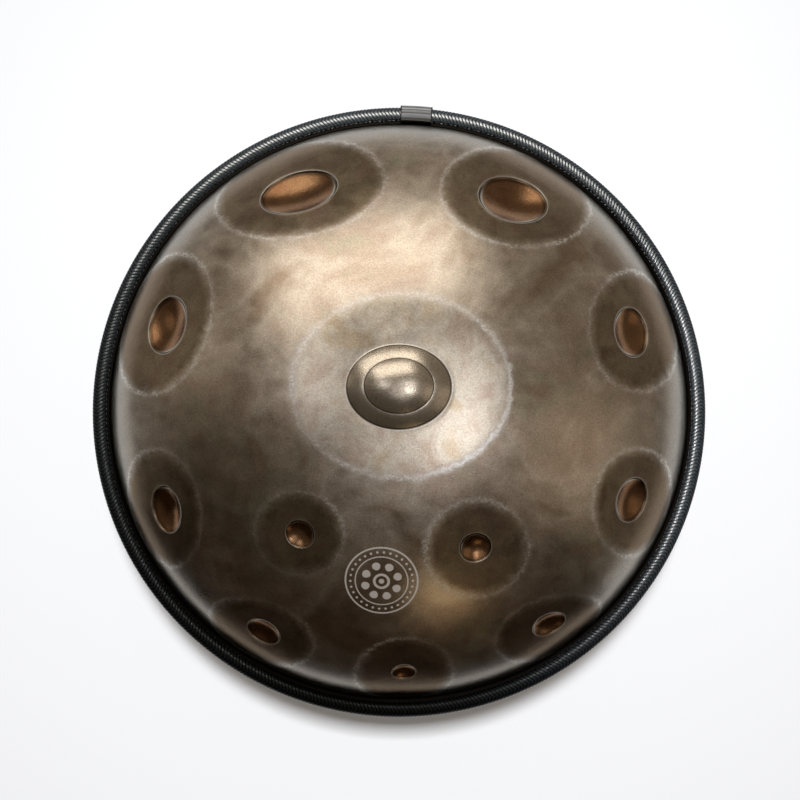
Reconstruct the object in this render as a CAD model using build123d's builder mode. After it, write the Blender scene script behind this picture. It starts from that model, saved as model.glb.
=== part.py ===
from build123d import *
import os
from math import asin, cos, degrees, radians, sin, sqrt, tan

# A twelve-note handpan: two drawn steel bowls, glued flange to flange, with a braided trim
# round the joint. Sizes are in millimetres. Z is the axis of the domes with the playing side
# up, and the pan stands on the flat ring round its port at Z = 0. Angles of notes and of the
# trim's clip are counted clockwise from +Y, seen from above.

# Overall size and the sheet
pan_diameter = 560.0  # over the trim
sheet = 1.2

# Dome, the same on both sides: a crown, a tighter shoulder and a short steep wall
crown_radius = 380.0
shoulder_radius = 95.0
wall_angle = 70.0  # slope of the wall from the rim plane
wall_drop = 2.0  # straight wall between the shoulder and the flange
foot_fillet = 3.0

# Flanges and the glue between them
flange_width = 12.0
glue_thickness = 0.6
glue_inset = 1.0  # the bead stops this far inside the flanges' edge
glue_width = 7.0

# Ding: a low oval dome with a smaller one on top of it, long across X
ding_half_length = 42.5
ding_half_width = 34.5
ding_rise = 7.5
ding_cap_half_length = 27.5
ding_cap_half_width = 22.0
ding_cap_rise = 12.5  # above the crown

# Perimeter notes: angle, distance of the dimple's middle inside the wall's foot,
# then the dimple's half length along the rim, half width and depth
perimeter_dimples = (
    (-26.2, 64.4, 35.0, 27.5, 8.5),
    (30.2, 65.0, 31.5, 29.5, 8.5),
    (-73.0, 52.3, 26.5, 23.2, 7.5),
    (74.7, 54.0, 22.8, 20.8, 7.0),
    (-116.0, 40.5, 20.7, 17.8, 6.5),
    (114.2, 43.8, 19.9, 17.9, 6.0),
    (-150.1, 30.2, 15.7, 13.2, 5.0),
    (146.6, 29.0, 15.6, 12.8, 5.0),
    (179.0, 26.7, 10.6, 9.4, 3.6),
)
# The two inner notes: angle, distance of the middle from the pan's axis, then as above
inner_dimples = (
    (-145.6, 143.4, 12.5, 12.1, 4.5),
    (154.1, 143.9, 13.5, 12.9, 4.8),
)

# Port in the lower shell and the flat ring round it that the pan stands on
port_radius = 51.0
port_neck = 20.0  # depth of the turned-in neck
port_lip_radius = 6.0
rest_radius = 70.0  # outer radius of the flat ring

# Trim: a slit rubber tube, a braided sleeve, stitching and a metal clip
trim_cover = 5.0  # how far the trim stands out past the flanges
trim_diameter = 13.5
sleeve_thickness = 0.95
thread_diameter = 0.9
thread_clearance = 0.15  # between the thread and the sleeve's edge
trim_joint_gap = 1.0  # between the trim's two ends, under the clip
fit_clearance = 0.05

# Clip over the trim's joint
clip_angle = 3.3
clip_length = 29.0
clip_side_wall = 1.5
clip_flat_wall = 1.25
clip_corner_radius = 4.5
clip_clearance = 0.1
clip_groove_width = 0.6
clip_groove_depth = 0.35
clip_groove_places = (-1.0, 2.0)  # from the trim's middle, outwards

# Plan radii, from the outside in
flange_radius = pan_diameter / 2 - trim_cover
foot_radius = flange_radius - flange_width
shoulder_end = foot_radius - wall_drop / tan(radians(wall_angle))
shoulder_share = shoulder_radius / crown_radius
crown_edge = (shoulder_end - shoulder_radius * sin(radians(wall_angle))) / (1 - shoulder_share)
crown_slope = degrees(asin(crown_edge / crown_radius))
trim_middle = pan_diameter / 2 - trim_diameter / 2

# Heights above the middle of the glue line
flange_face = glue_thickness / 2
flange_top = flange_face + sheet
crown_drop = crown_radius * (1 - cos(radians(crown_slope)))
shoulder_drop = shoulder_radius * (cos(radians(crown_slope)) - cos(radians(wall_angle)))
apex = flange_top + wall_drop + shoulder_drop + crown_drop
rest_cut = crown_radius - sqrt(crown_radius**2 - rest_radius**2)
rim_height = apex - rest_cut

# Centres of the two arcs, in a section's own axes: radius, height above the rim plane
crown_centre = (0.0, apex - crown_radius)
shoulder_centre = (
    (crown_radius - shoulder_radius) * sin(radians(crown_slope)),
    crown_centre[1] + (crown_radius - shoulder_radius) * cos(radians(crown_slope)),
)


def section_plane(angle=90.0, side=1):
    """Plane through the axis at an angle clockwise from +Y: x is the radius, y the height
    away from the rim plane, upwards for side 1 and downwards for side -1."""
    outward = Vector(sin(radians(angle)), cos(radians(angle)), 0)
    return Plane((0, 0, rim_height), x_dir=outward, z_dir=outward.cross(Vector(0, 0, side)))


def dome_face(inset):
    """The space under the dome in section, its line moved inwards by the inset."""
    with BuildLine() as outline:
        crown = CenterArc(crown_centre, crown_radius - inset, 90 - crown_slope, crown_slope)
        shoulder = CenterArc(
            shoulder_centre, shoulder_radius - inset, 90 - wall_angle, wall_angle - crown_slope
        )
        wall_end = shoulder @ 0 + Vector((shoulder @ 0).Y / tan(radians(wall_angle)), -(shoulder @ 0).Y)
        Polyline(shoulder @ 0, wall_end, (0, 0), crown @ 1)
    make_face(outline.edges())


def flanged_face():
    """Everything under the outer surface: the dome and its flange, with the foot rounded."""
    dome_face(0)
    with Locations((flange_radius, 0)):
        Rectangle(flange_width * 2, flange_top, align=(Align.MAX, Align.MIN))


def cavity_face():
    """Everything under the inner surface, down past the flanges' mating face."""
    dome_face(sheet)
    with Locations((0, flange_face)):
        Rectangle(pan_diameter, pan_diameter, align=(Align.MIN, Align.MAX))


def round_corner(section, radius, place):
    """Rounds the section's corner nearest to a place."""
    corner = section.vertices().sort_by_distance(place)[0]
    fillet(corner, radius)


def round_foot(section, inset):
    """Rounds the corner between the wall and the flange on one face of the sheet."""
    wall_step = inset / sin(radians(wall_angle))
    corner_height = flange_top - inset
    corner_radius = foot_radius - wall_step + inset / tan(radians(wall_angle))
    round_corner(section, foot_fillet + inset, (corner_radius, corner_height))


def surface_place(reach):
    """Height above the rim plane and slope of the outer surface at a plan radius."""
    if reach <= crown_edge:
        slope = degrees(asin(reach / crown_radius))
        return crown_centre[1] + crown_radius * cos(radians(slope)), slope
    slope = degrees(asin((reach - shoulder_centre[0]) / shoulder_radius))
    return shoulder_centre[1] + shoulder_radius * cos(radians(slope)), slope


def fall_across(reach, half_width):
    """How far the surface falls off its tangent plane, half a width up and down the dome."""
    height, slope = surface_place(reach)
    falls = []
    for step in (-half_width * cos(radians(slope)), half_width * cos(radians(slope))):
        side_height = surface_place(abs(reach + step))[0]
        drop = (height - side_height) * cos(radians(slope)) - step * sin(radians(slope))
        falls.append(drop)
    return sum(falls) / 2


def fall_along(reach, half_length):
    """The same, half a length along the rim."""
    rounding = reach / sin(radians(surface_place(reach)[1])) if reach else crown_radius
    return rounding - sqrt(rounding**2 - half_length**2)


def oval_radii(half_length, half_width, cap_along, cap_across):
    """Half axes of the long round body whose cap has the given oval outline and heights."""
    across = (half_width**2 + cap_across**2) / (2 * cap_across)
    along = half_length / sqrt(1 - (1 - cap_along / across) ** 2)
    return along, across


def oval_solid(top, outward, along_rim, radii, side, grow):
    """A round body on its long axis, which lies along the rim. Its top is the middle of a
    raised cap for side 1, or the bottom of a bowl for side -1. Grow moves its skin out."""
    along, across = radii
    centre = top - outward * (side * across)
    with BuildPart() as solid:
        with BuildSketch(Plane(centre, x_dir=along_rim, z_dir=along_rim.cross(outward))):
            Ellipse(along + grow, across + grow)
            Rectangle(4 * along, 4 * across, align=(Align.CENTER, Align.MAX), mode=Mode.SUBTRACT)
        revolve(axis=Axis(centre, along_rim))
        split(bisect_by=Plane.XY.offset(rim_height + flange_top), keep=Keep.TOP)
    return solid.part


def dimple(angle, reach, half_length, half_width, depth, grow):
    """One dimple's bowl, its skin moved out by grow."""
    height, slope = surface_place(reach)
    turn, tilt = radians(angle), radians(slope)
    outward = Vector(sin(tilt) * sin(turn), sin(tilt) * cos(turn), cos(tilt))
    along_rim = Vector(cos(turn), -sin(turn), 0)
    middle = Vector(reach * sin(turn), reach * cos(turn), rim_height + height)
    cap_along = depth - fall_along(reach, half_length)
    cap_across = depth - fall_across(reach, half_width)
    radii = oval_radii(half_length, half_width, cap_along, cap_across)
    return oval_solid(middle - outward * depth, outward, along_rim, radii, -1, grow)


def dimples(grow):
    """Every dimple's bowl, its skin moved out by grow."""
    bowls = []
    for angle, inset, *size in perimeter_dimples:
        bowls.append(dimple(angle, foot_radius - inset, *size, grow))
    for angle, reach, *size in inner_dimples:
        bowls.append(dimple(angle, reach, *size, grow))
    return bowls


def ding(grow):
    """The ding's two domes, their skins moved out by grow."""
    base = oval_radii(
        ding_half_length,
        ding_half_width,
        ding_rise + fall_along(0, ding_half_length),
        ding_rise + fall_across(0, ding_half_width),
    )
    step = ding_cap_rise - ding_rise
    base_fall_along = base[1] * (1 - sqrt(1 - (ding_cap_half_length / base[0]) ** 2))
    base_fall_across = base[1] - sqrt(base[1] ** 2 - ding_cap_half_width**2)
    cap = oval_radii(
        ding_cap_half_length,
        ding_cap_half_width,
        step + base_fall_along,
        step + base_fall_across,
    )
    domes = []
    for radii, rise in ((base, ding_rise), (cap, ding_cap_rise)):
        top = Vector(0, 0, rim_height + apex + rise)
        domes.append(oval_solid(top, Vector(0, 0, 1), Vector(1, 0, 0), radii, 1, grow))
    return domes


# Playing side: the space under the outer surface, less the space under the inner one
with BuildPart() as cavity:
    with BuildSketch(section_plane()) as cavity_section:
        cavity_face()
        round_foot(cavity_section, sheet)
    revolve(axis=Axis.Z)
    add(ding(-sheet))
    add(dimples(sheet), mode=Mode.SUBTRACT)

with BuildPart() as top_shell:
    with BuildSketch(section_plane()) as outer_section:
        flanged_face()
        round_foot(outer_section, 0)
    revolve(axis=Axis.Z)
    add(ding(0))
    add(dimples(0), mode=Mode.SUBTRACT)
    add(cavity.part, mode=Mode.SUBTRACT)

# Lower side: the same dome with a flat ring and a port whose lip is turned inwards
with BuildPart() as bottom_shell:
    with BuildSketch(section_plane(side=-1)) as hollow_section:
        cavity_face()
        round_foot(hollow_section, sheet)
        with Locations((0, rim_height - sheet)):
            Rectangle(pan_diameter, pan_diameter, align=(Align.MIN, Align.MIN), mode=Mode.SUBTRACT)
    with BuildSketch(section_plane(side=-1)) as shell_section:
        flanged_face()
        round_foot(shell_section, 0)
        with Locations((0, rim_height)):
            Rectangle(pan_diameter, pan_diameter, align=(Align.MIN, Align.MIN), mode=Mode.SUBTRACT)
        add(hollow_section.sketch_local, mode=Mode.SUBTRACT)
        Rectangle(2 * port_radius, 2 * pan_diameter, mode=Mode.SUBTRACT)
        with Locations((port_radius, rim_height)):
            Rectangle(sheet, port_neck, align=(Align.MIN, Align.MAX))
        round_corner(shell_section, port_lip_radius, (port_radius, rim_height))
        round_corner(shell_section, port_lip_radius - sheet, (port_radius + sheet, rim_height - sheet))
    revolve(shell_section.sketch, axis=Axis.Z)

# Glue between the flanges
with BuildPart() as rim_adhesive:
    with BuildSketch(section_plane()):
        with Locations((flange_radius - glue_inset, 0)):
            Rectangle(glue_width, glue_thickness, align=(Align.MAX, Align.CENTER))
    revolve(axis=Axis.Z)

# Trim
core_radius = trim_diameter / 2 - sleeve_thickness - fit_clearance
grip_height = 2 * (flange_top + fit_clearance)
joint_turn = degrees(trim_joint_gap / trim_middle)
thread_height = flange_top + fit_clearance + thread_diameter / 2
sleeve_opening = 2 * (thread_height + thread_diameter / 2 + thread_clearance)
trim_start = section_plane(clip_angle - joint_turn / 2)
trim_turn = 360 - joint_turn

with BuildPart() as rim_core:
    with BuildSketch(trim_start):
        with Locations((trim_middle, 0)):
            Circle(core_radius)
        with Locations((flange_radius + fit_clearance, 0)):
            Rectangle(
                trim_diameter, grip_height, align=(Align.MAX, Align.CENTER), mode=Mode.SUBTRACT
            )
    revolve(axis=Axis.Z, revolution_arc=trim_turn)

with BuildPart() as rim_braid:
    with BuildSketch(trim_start):
        with Locations((trim_middle, 0)):
            Circle(trim_diameter / 2)
            Circle(trim_diameter / 2 - sleeve_thickness, mode=Mode.SUBTRACT)
            Rectangle(
                trim_diameter, sleeve_opening, align=(Align.MAX, Align.CENTER), mode=Mode.SUBTRACT
            )
    revolve(axis=Axis.Z, revolution_arc=trim_turn)

# The thread lies in the sleeve's opening, against the flange, above and below it
sleeve_middle = (trim_diameter - sleeve_thickness) / 2
thread_reach = trim_middle - sqrt(sleeve_middle**2 - thread_height**2)
with BuildPart() as rim_stitching:
    with BuildSketch(trim_start):
        with Locations((thread_reach, thread_height), (thread_reach, -thread_height)):
            Circle(thread_diameter / 2)
    revolve(axis=Axis.Z, revolution_arc=trim_turn)

clip_turn = degrees(clip_length / trim_middle)
clip_width = trim_diameter + 2 * clip_side_wall
clip_height = trim_diameter + 2 * clip_flat_wall
with BuildPart() as rim_clip:
    with BuildSketch(section_plane(clip_angle + clip_turn / 2)):
        with Locations((trim_middle, 0)):
            RectangleRounded(clip_width, clip_height, clip_corner_radius)
            Circle(trim_diameter / 2 + clip_clearance, mode=Mode.SUBTRACT)
            Rectangle(
                clip_width,
                2 * (flange_top + clip_clearance),
                align=(Align.MAX, Align.CENTER),
                mode=Mode.SUBTRACT,
            )
        for place in clip_groove_places:
            for side in (-1, 1):
                with Locations((trim_middle + place, side * clip_height / 2)):
                    Rectangle(clip_groove_width, 2 * clip_groove_depth, mode=Mode.SUBTRACT)
    revolve(axis=Axis.Z, revolution_arc=clip_turn)

pieces = {
    "top_shell": top_shell,
    "bottom_shell": bottom_shell,
    "rim_adhesive": rim_adhesive,
    "rim_core": rim_core,
    "rim_braid": rim_braid,
    "rim_stitching": rim_stitching,
    "rim_clip": rim_clip,
}
os.makedirs("parts", exist_ok=True)
for label, piece in pieces.items():
    piece.part.label = label
    export_step(piece.part, f"parts/{label}.step")
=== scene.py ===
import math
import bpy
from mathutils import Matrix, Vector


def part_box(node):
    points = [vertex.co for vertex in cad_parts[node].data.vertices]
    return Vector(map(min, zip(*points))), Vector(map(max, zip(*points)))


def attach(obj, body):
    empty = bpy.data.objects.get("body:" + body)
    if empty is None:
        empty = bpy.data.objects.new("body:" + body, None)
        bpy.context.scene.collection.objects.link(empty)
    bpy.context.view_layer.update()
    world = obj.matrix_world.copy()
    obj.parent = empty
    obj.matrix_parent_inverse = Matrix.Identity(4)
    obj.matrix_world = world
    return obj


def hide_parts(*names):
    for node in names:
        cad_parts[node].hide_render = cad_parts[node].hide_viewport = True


bl_info = {
    "name": "Handpan",
    "version": (1, 0, 0),
    "blender": (4, 5, 0),
    "location": "3D View > Sidebar > Handpan",
    "description": "Finished surfaces of a twelve-note handpan, built round its packed frame",
    "category": "Object",
}

import bmesh
import bpy
from bpy.props import CollectionProperty, FloatProperty, FloatVectorProperty, IntProperty, PointerProperty
from mathutils import Matrix, Vector, noise

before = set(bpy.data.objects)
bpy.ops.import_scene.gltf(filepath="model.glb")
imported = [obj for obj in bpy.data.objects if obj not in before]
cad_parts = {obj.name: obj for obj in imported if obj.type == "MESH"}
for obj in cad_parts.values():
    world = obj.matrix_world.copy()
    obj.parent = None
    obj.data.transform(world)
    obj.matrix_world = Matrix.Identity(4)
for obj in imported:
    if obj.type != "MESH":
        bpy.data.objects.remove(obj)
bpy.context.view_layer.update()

MM = 0.001
RIM_HEIGHT = (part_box("rim_braid")[0].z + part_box("rim_braid")[1].z) / 2
PAN_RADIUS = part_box("rim_braid")[1].x
FLANGE_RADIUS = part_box("top_shell")[1].x
TRIM_RADIUS = (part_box("rim_braid")[1].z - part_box("rim_braid")[0].z) / 2
TRIM_MIDDLE = PAN_RADIUS - TRIM_RADIUS
TRIM_JOINT_GAP = 1.0 * MM
CLIP_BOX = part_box("rim_clip")
CLIP_MIDDLE = (CLIP_BOX[0] + CLIP_BOX[1]) / 2
CLIP_ANGLE = math.atan2(CLIP_MIDDLE.x, CLIP_MIDDLE.y)

# Each note, in millimetres and degrees, seen from above: its angle clockwise from the clip's side
# and its distance from the axis, then the dimple's two half axes, their turn and its depth, then the
# tone field round it: its middle from the dimple's, along the rim and outwards, half axes and turn.
NOTE_COLUMNS = (
    "angle", "reach", "dimple_long", "dimple_short", "dimple_turn", "depth",
    "shift_along", "shift_out", "field_long", "field_short", "field_turn",
)
NOTE_ANGLES = ("angle", "dimple_turn", "field_turn")
NOTE_LAYOUT = (
    (-26.2, 200.2, 35.9, 26.4, -21, 8.5, 1.4, 9.3, 78.0, 60.4, -35),
    (30.2, 199.7, 33.2, 27.8, 44, 8.5, 1.1, 12.5, 74.7, 58.2, 59),
    (-72.9, 211.7, 26.9, 22.9, 23, 7.5, 1.3, 10.1, 63.8, 57.5, 21),
    (74.6, 209.8, 23.5, 20.0, -33, 7.0, -0.9, 10.0, 61.4, 49.4, -62),
    (-116.0, 223.2, 21.3, 17.2, -27, 6.5, 2.7, 6.4, 51.7, 44.6, -34),
    (114.1, 219.7, 19.9, 18.0, 8, 6.0, 0.6, 7.0, 50.5, 44.6, 76),
    (-150.1, 233.5, 15.7, 13.5, 9, 5.0, 2.5, 5.6, 48.8, 36.5, 29),
    (146.6, 234.7, 16.0, 12.7, -23, 5.0, 1.0, 8.6, 51.8, 35.9, -34),
    (179.0, 236.6, 10.6, 9.4, 14, 3.6, -0.2, 5.1, 42.9, 40.7, 64),
    (-145.6, 143.6, 12.5, 12.1, 26, 4.5, 0.6, 0.4, 37.1, 34.8, 45),
    (154.1, 144.0, 13.6, 12.8, -27, 4.8, -0.9, 2.1, 42.4, 40.6, -51),
)


def length(name, description, value):
    """A size that the sidebar shows in the scene's units; the value is in millimetres."""
    return FloatProperty(name=name, description=description, default=value * MM, unit="LENGTH", precision=5)


def turn_property(name, description, value):
    """An angle that the sidebar shows in the scene's units; the value is in degrees."""
    return FloatProperty(name=name, description=description, default=math.radians(value), subtype="ANGLE")


class HandpanNote(bpy.types.PropertyGroup):
    angle: turn_property("Angle", "Clockwise from the clip's side", 0)
    reach: length("Reach", "Dimple's distance from the axis", 220)
    dimple_long: length("Dimple long", "Half axis of the dimple", 20)
    dimple_short: length("Dimple short", "Other half axis of the dimple", 18)
    dimple_turn: turn_property("Dimple turn", "Turn of the dimple out of the rim's line", 0)
    depth: length("Depth", "Depth of the dimple", 6)
    shift_along: length("Shift along", "Tone field's middle from the dimple's, along the rim", 0)
    shift_out: length("Shift out", "Tone field's middle from the dimple's, outwards", 7)
    field_long: length("Field long", "Half axis of the tone field", 50)
    field_short: length("Field short", "Other half axis of the tone field", 45)
    field_turn: turn_property("Field turn", "Turn of the tone field out of the rim's line", 0)


class HandpanSizes(bpy.types.PropertyGroup):
    notes: CollectionProperty(name="Notes", description="The eleven notes round the ding", type=HandpanNote)
    sheet: length("Sheet", "Thickness of the drawn steel", 1.2)
    crown_radius: length("Crown radius", "Radius of the dome's middle part", 380)
    shoulder_radius: length("Shoulder radius", "Radius of the dome's outer part", 95)
    wall_angle: turn_property("Wall angle", "Slope of the short wall", 70)
    wall_drop: length("Wall drop", "Height of the straight wall", 2)
    foot_fillet: length("Foot fillet", "Radius where the wall meets the flange", 3)
    flange_width: length("Flange width", "From the wall's foot to the flange's edge", 12)
    flange_top: length("Flange top", "Height of the flange's face over the glue line's middle", 1.5)
    ding_long: length("Ding length", "Half length of the ding's lower dome", 42.5)
    ding_short: length("Ding width", "Half width of the ding's lower dome", 34.5)
    cap_long: length("Cap length", "Half length of the ding's upper dome", 27.5)
    cap_short: length("Cap width", "Half width of the ding's upper dome", 22)
    ding_lift: length("Ding lift", "Rise of the lower dome up to the upper one's edge", 5.4)
    cap_lift: length("Cap lift", "Rise of the upper dome", 6.4)
    ding_field_long: length("Ding field length", "Half length of the ding's tone field", 88.9)
    ding_field_short: length("Ding field width", "Half width of the ding's tone field", 74.7)
    port_radius: length("Port radius", "Inside radius of the port's neck", 51)
    port_neck: length("Port neck", "Depth of the turned-in neck", 20)
    port_lip: length("Port lip", "Outer radius of the port's lip", 6)
    rest_radius: length("Rest radius", "Outer radius of the flat ring that the pan stands on", 70)
    strand_pitch: length("Strand pitch", "Spacing of the plaited strands along the trim", 3.3)
    stitches: IntProperty(
        name="Stitches", description="Stitches along each edge of the trim", default=375, min=3
    )
    spin_steps: IntProperty(name="Spin steps", description="Faces round each bowl", default=270, min=32)


def hex_colour(code):
    """An sRGB hex colour as linear red, green and blue."""
    parts = [int(code[place:place + 2], 16) / 255 for place in (1, 3, 5)]
    return [part / 12.92 if part <= 0.04045 else ((part + 0.055) / 1.055) ** 2.4 for part in parts]


def colour_property(name, description, code):
    return FloatVectorProperty(
        name=name, description=description, default=hex_colour(code), subtype="COLOR", size=3, min=0, max=1
    )


class HandpanColours(bpy.types.PropertyGroup):
    steel_light: colour_property("Light bronze", "Thin nitride over the crown", "#cdbfab")
    steel_brown: colour_property("Brown", "Thicker nitride, in clouds", "#a5917b")
    steel_olive: colour_property("Olive", "Straw tint in the nitride", "#b4aa93")
    steel_rose: colour_property("Rose", "Rose tint in the nitride", "#bca995")
    steel_wall: colour_property("Wall", "Thinnest nitride, on the wall near the rim", "#9a958d")
    field_dark: colour_property("Tone field", "Thick nitride on the worked tone fields", "#7b6954")
    field_olive: colour_property("Tone field olive", "Olive clouds on the tone fields", "#908168")
    field_brown: colour_property("Tone field brown", "Brown clouds on the tone fields", "#8a7562")
    ding_field: colour_property("Ding's field", "Rubbed nitride round the ding", "#cfc5b2")
    ding_field_straw: colour_property("Ding's field straw", "Straw clouds round the ding", "#c0ae93")
    # Also the colour of the painted highlights: the dimples' crescents and the ding field's right border
    wear_and_highlight: colour_property("Worn edge", "Scoured oxide at the tone fields' borders", "#ece7de")
    dimple: colour_property("Dimple", "Copper-coloured nitride in the dimples", "#94704f")
    dimple_dark: colour_property("Dimple clouds", "Thicker copper-brown nitride in the dimples", "#6b4930")
    ding: colour_property("Ding", "Rubbed nitride of the ding", "#c4b7a3")
    # Painted shade, used in the creases round the ding, on the dimples' walls and on the flange beside the trim
    painted_shade: colour_property("Soil", "Oil and dust in creases and beside the trim", "#120f0c")
    lower_steel: colour_property("Lower shell", "Plain nitride of the lower shell", "#a0907c")
    leather: colour_property("Trim", "Black waxed trim", "#101315")
    strand_gap_shade: colour_property("Trim gaps", "Between the trim's strands", "#040405")
    # Painted shade between the trim's strands
    thread: colour_property("Thread", "Waxed thread", "#2a2a2b")
    clip: colour_property("Clip", "Dark plated clip", "#8b8c8c")
    epoxy_dark: colour_property("Epoxy", "Cured epoxy", "#2a241c")
    epoxy_light: colour_property("Epoxy clouds", "Lighter clouds in the epoxy", "#4a4030")
    rubber_dark: colour_property("Rubber", "Extruded rubber", "#161616")
    rubber_light: colour_property("Rubber bloom", "Bloom on the rubber", "#262626")


def sizes():
    return bpy.context.scene.handpan_sizes


def colours():
    return bpy.context.scene.handpan_colours


# --- The dome ---------------------------------------------------------------------------------


class Dome:
    """The bowls' outer line in section: radius from the axis, and height over the rim plane."""

    def __init__(self):
        size = sizes()
        self.crown, self.shoulder = size.crown_radius, size.shoulder_radius
        self.flange_top = size.flange_top
        self.foot = FLANGE_RADIUS - size.flange_width
        wall_end = self.foot - size.wall_drop / math.tan(size.wall_angle)
        share = self.shoulder / self.crown
        self.edge = (wall_end - self.shoulder * math.sin(size.wall_angle)) / (1 - share)
        self.slope = math.asin(self.edge / self.crown)
        self.apex = (
            size.flange_top + size.wall_drop
            + self.shoulder * (math.cos(self.slope) - math.cos(size.wall_angle))
            + self.crown * (1 - math.cos(self.slope))
        )
        gap = self.crown - self.shoulder
        self.crown_height = self.apex - self.crown
        self.bend = (gap * math.sin(self.slope), self.crown_height + gap * math.cos(self.slope))

    def height(self, reach):
        """Height of the crown or shoulder at a distance from the axis."""
        if reach <= self.edge:
            return self.crown_height + math.sqrt(self.crown**2 - reach**2)
        return self.bend[1] + math.sqrt(max(self.shoulder**2 - (reach - self.bend[0]) ** 2, 0))

    def tilt(self, reach):
        """Slope of the surface at a distance from the axis."""
        if reach <= self.edge:
            return math.asin(reach / self.crown)
        return math.asin(min((reach - self.bend[0]) / self.shoulder, 1))

    def gap(self, place):
        """Distance of a place outside the dome, and the dome's own direction outwards there."""
        reach = math.hypot(place.x, place.y)
        across, up = reach - self.bend[0], place.z - self.bend[1]
        if reach < 1e-6:
            return place.z - self.apex, Vector((0, 0, 1))
        if math.atan2(across, up) > self.slope:
            spread = math.hypot(across, up)
            radial, rise, distance = across / spread, up / spread, spread - self.shoulder
        else:
            above = place.z - self.crown_height
            spread = math.hypot(reach, above)
            radial, rise, distance = reach / spread, above / spread, spread - self.crown
        return distance, Vector((radial * place.x / reach, radial * place.y / reach, rise))

    def settle(self, place):
        """The nearest place on the dome."""
        distance, outward = self.gap(place)
        return place - outward * distance

    def drop(self, place, direction):
        """Where a line through a place meets the dome."""
        for _ in range(8):
            distance, outward = self.gap(place)
            place = place - direction * (distance / max(outward.dot(direction), 0.3))
        return place


class Oval:
    """An ellipse on the plane that touches the dome at a note or at the ding."""

    def __init__(self, middle, along, outward, long, short, turn):
        self.middle, self.outward = middle, outward
        across = outward.cross(along)
        self.long_axis = along * math.cos(turn) + across * math.sin(turn)
        self.short_axis = across * math.cos(turn) - along * math.sin(turn)
        self.long, self.short = long, short

    def local(self, place):
        away = place - self.middle
        return away.dot(self.long_axis), away.dot(self.short_axis)

    def share(self, place):
        """0 in the middle and 1 on the line."""
        x, y = self.local(place)
        return math.hypot(x / self.long, y / self.short)

    def gap(self, place):
        """Distance outside the line; negative inside."""
        x, y = self.local(place)
        share = max(math.hypot(x / self.long, y / self.short), 0.001)
        return math.hypot(x, y) * (1 - 1 / share)

    def place(self, turn, grow=0.0, shrink=1.0):
        """A place on the ellipse, moved out by grow, or scaled by shrink."""
        x = (self.long + grow) * shrink * math.cos(turn)
        y = (self.short + grow) * shrink * math.sin(turn)
        return self.middle + self.long_axis * x + self.short_axis * y


class Note:
    """A note's dimple and tone field, placed on the dome."""

    def __init__(self, dome, entry):
        tilt = dome.tilt(entry.reach)
        turn = entry.angle
        reach = entry.reach
        middle = Vector((reach * math.sin(turn), reach * math.cos(turn), dome.height(reach)))
        outward = Vector((math.sin(tilt) * math.sin(turn), math.sin(tilt) * math.cos(turn), math.cos(tilt)))
        along = Vector((math.cos(turn), -math.sin(turn), 0))
        down = along.cross(outward)
        if down.z > 0:
            down = -down
        self.depth = entry.depth
        self.dimple = Oval(middle, along, outward, entry.dimple_long, entry.dimple_short, 0)
        self.field = Oval(middle, along, outward, entry.field_long, entry.field_short, 0)
        for oval, oval_turn in ((self.dimple, entry.dimple_turn), (self.field, entry.field_turn)):
            oval.long_axis = along * math.cos(oval_turn) + down * math.sin(oval_turn)
            oval.short_axis = down * math.cos(oval_turn) - along * math.sin(oval_turn)
        self.field.middle = middle + along * entry.shift_along + down * entry.shift_out
        self.down = down
        # Small dimples have smaller lips and walls
        self.scale = min(max(entry.depth / (8.5 * MM), 0.5), 1)

    def side(self, place):
        """-1 at the dimple's edge nearest the ding, 1 at the one nearest the rim."""
        return (place - self.dimple.middle).dot(self.down) / self.dimple.short


def eased(share):
    share = min(max(share, 0), 1)
    return share * share * (3 - 2 * share)


def ding_ovals(dome):
    size = sizes()
    top = Vector((0, 0, dome.apex))
    along, up = Vector((1, 0, 0)), Vector((0, 0, 1))
    return (
        Oval(top, along, up, size.ding_long, size.ding_short, 0),
        Oval(top, along, up, size.cap_long, size.cap_short, 0),
        Oval(top + Vector((2.0, 1.9, 0)) * MM, along, up, size.ding_field_long, size.ding_field_short, 0),
    )


# --- Meshes -----------------------------------------------------------------------------------


def finish_piece(mesh_maker, name, node_names, material, smooth_angle=None):
    """Makes a bmesh an object that rides on the pan and stands for CAD nodes."""
    mesh = bpy.data.meshes.new(name)
    mesh_maker.to_mesh(mesh)
    mesh_maker.free()
    piece = bpy.data.objects.new(name, mesh)
    bpy.context.scene.collection.objects.link(piece)
    mesh.materials.append(material)
    if smooth_angle is None:
        mesh.shade_smooth()
    else:
        mesh.set_sharp_from_angle(angle=smooth_angle)
    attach(piece, "root")
    if node_names:
        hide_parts(*node_names)
    return piece


def spun(profile, steps, turn=math.tau, closed_profile=False):
    """A bmesh with a profile of radius and height turned about the axis."""
    maker = bmesh.new()
    verts = [maker.verts.new((reach, 0, height)) for reach, height in profile]
    edges = [maker.edges.new(pair) for pair in zip(verts, verts[1:])]
    if closed_profile:
        edges.append(maker.edges.new((verts[-1], verts[0])))
    bmesh.ops.spin(
        maker, geom=verts + edges, cent=(0, 0, 0), axis=(0, 0, 1), angle=turn, steps=steps,
        use_merge=turn >= math.tau,
    )
    return maker


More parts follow.
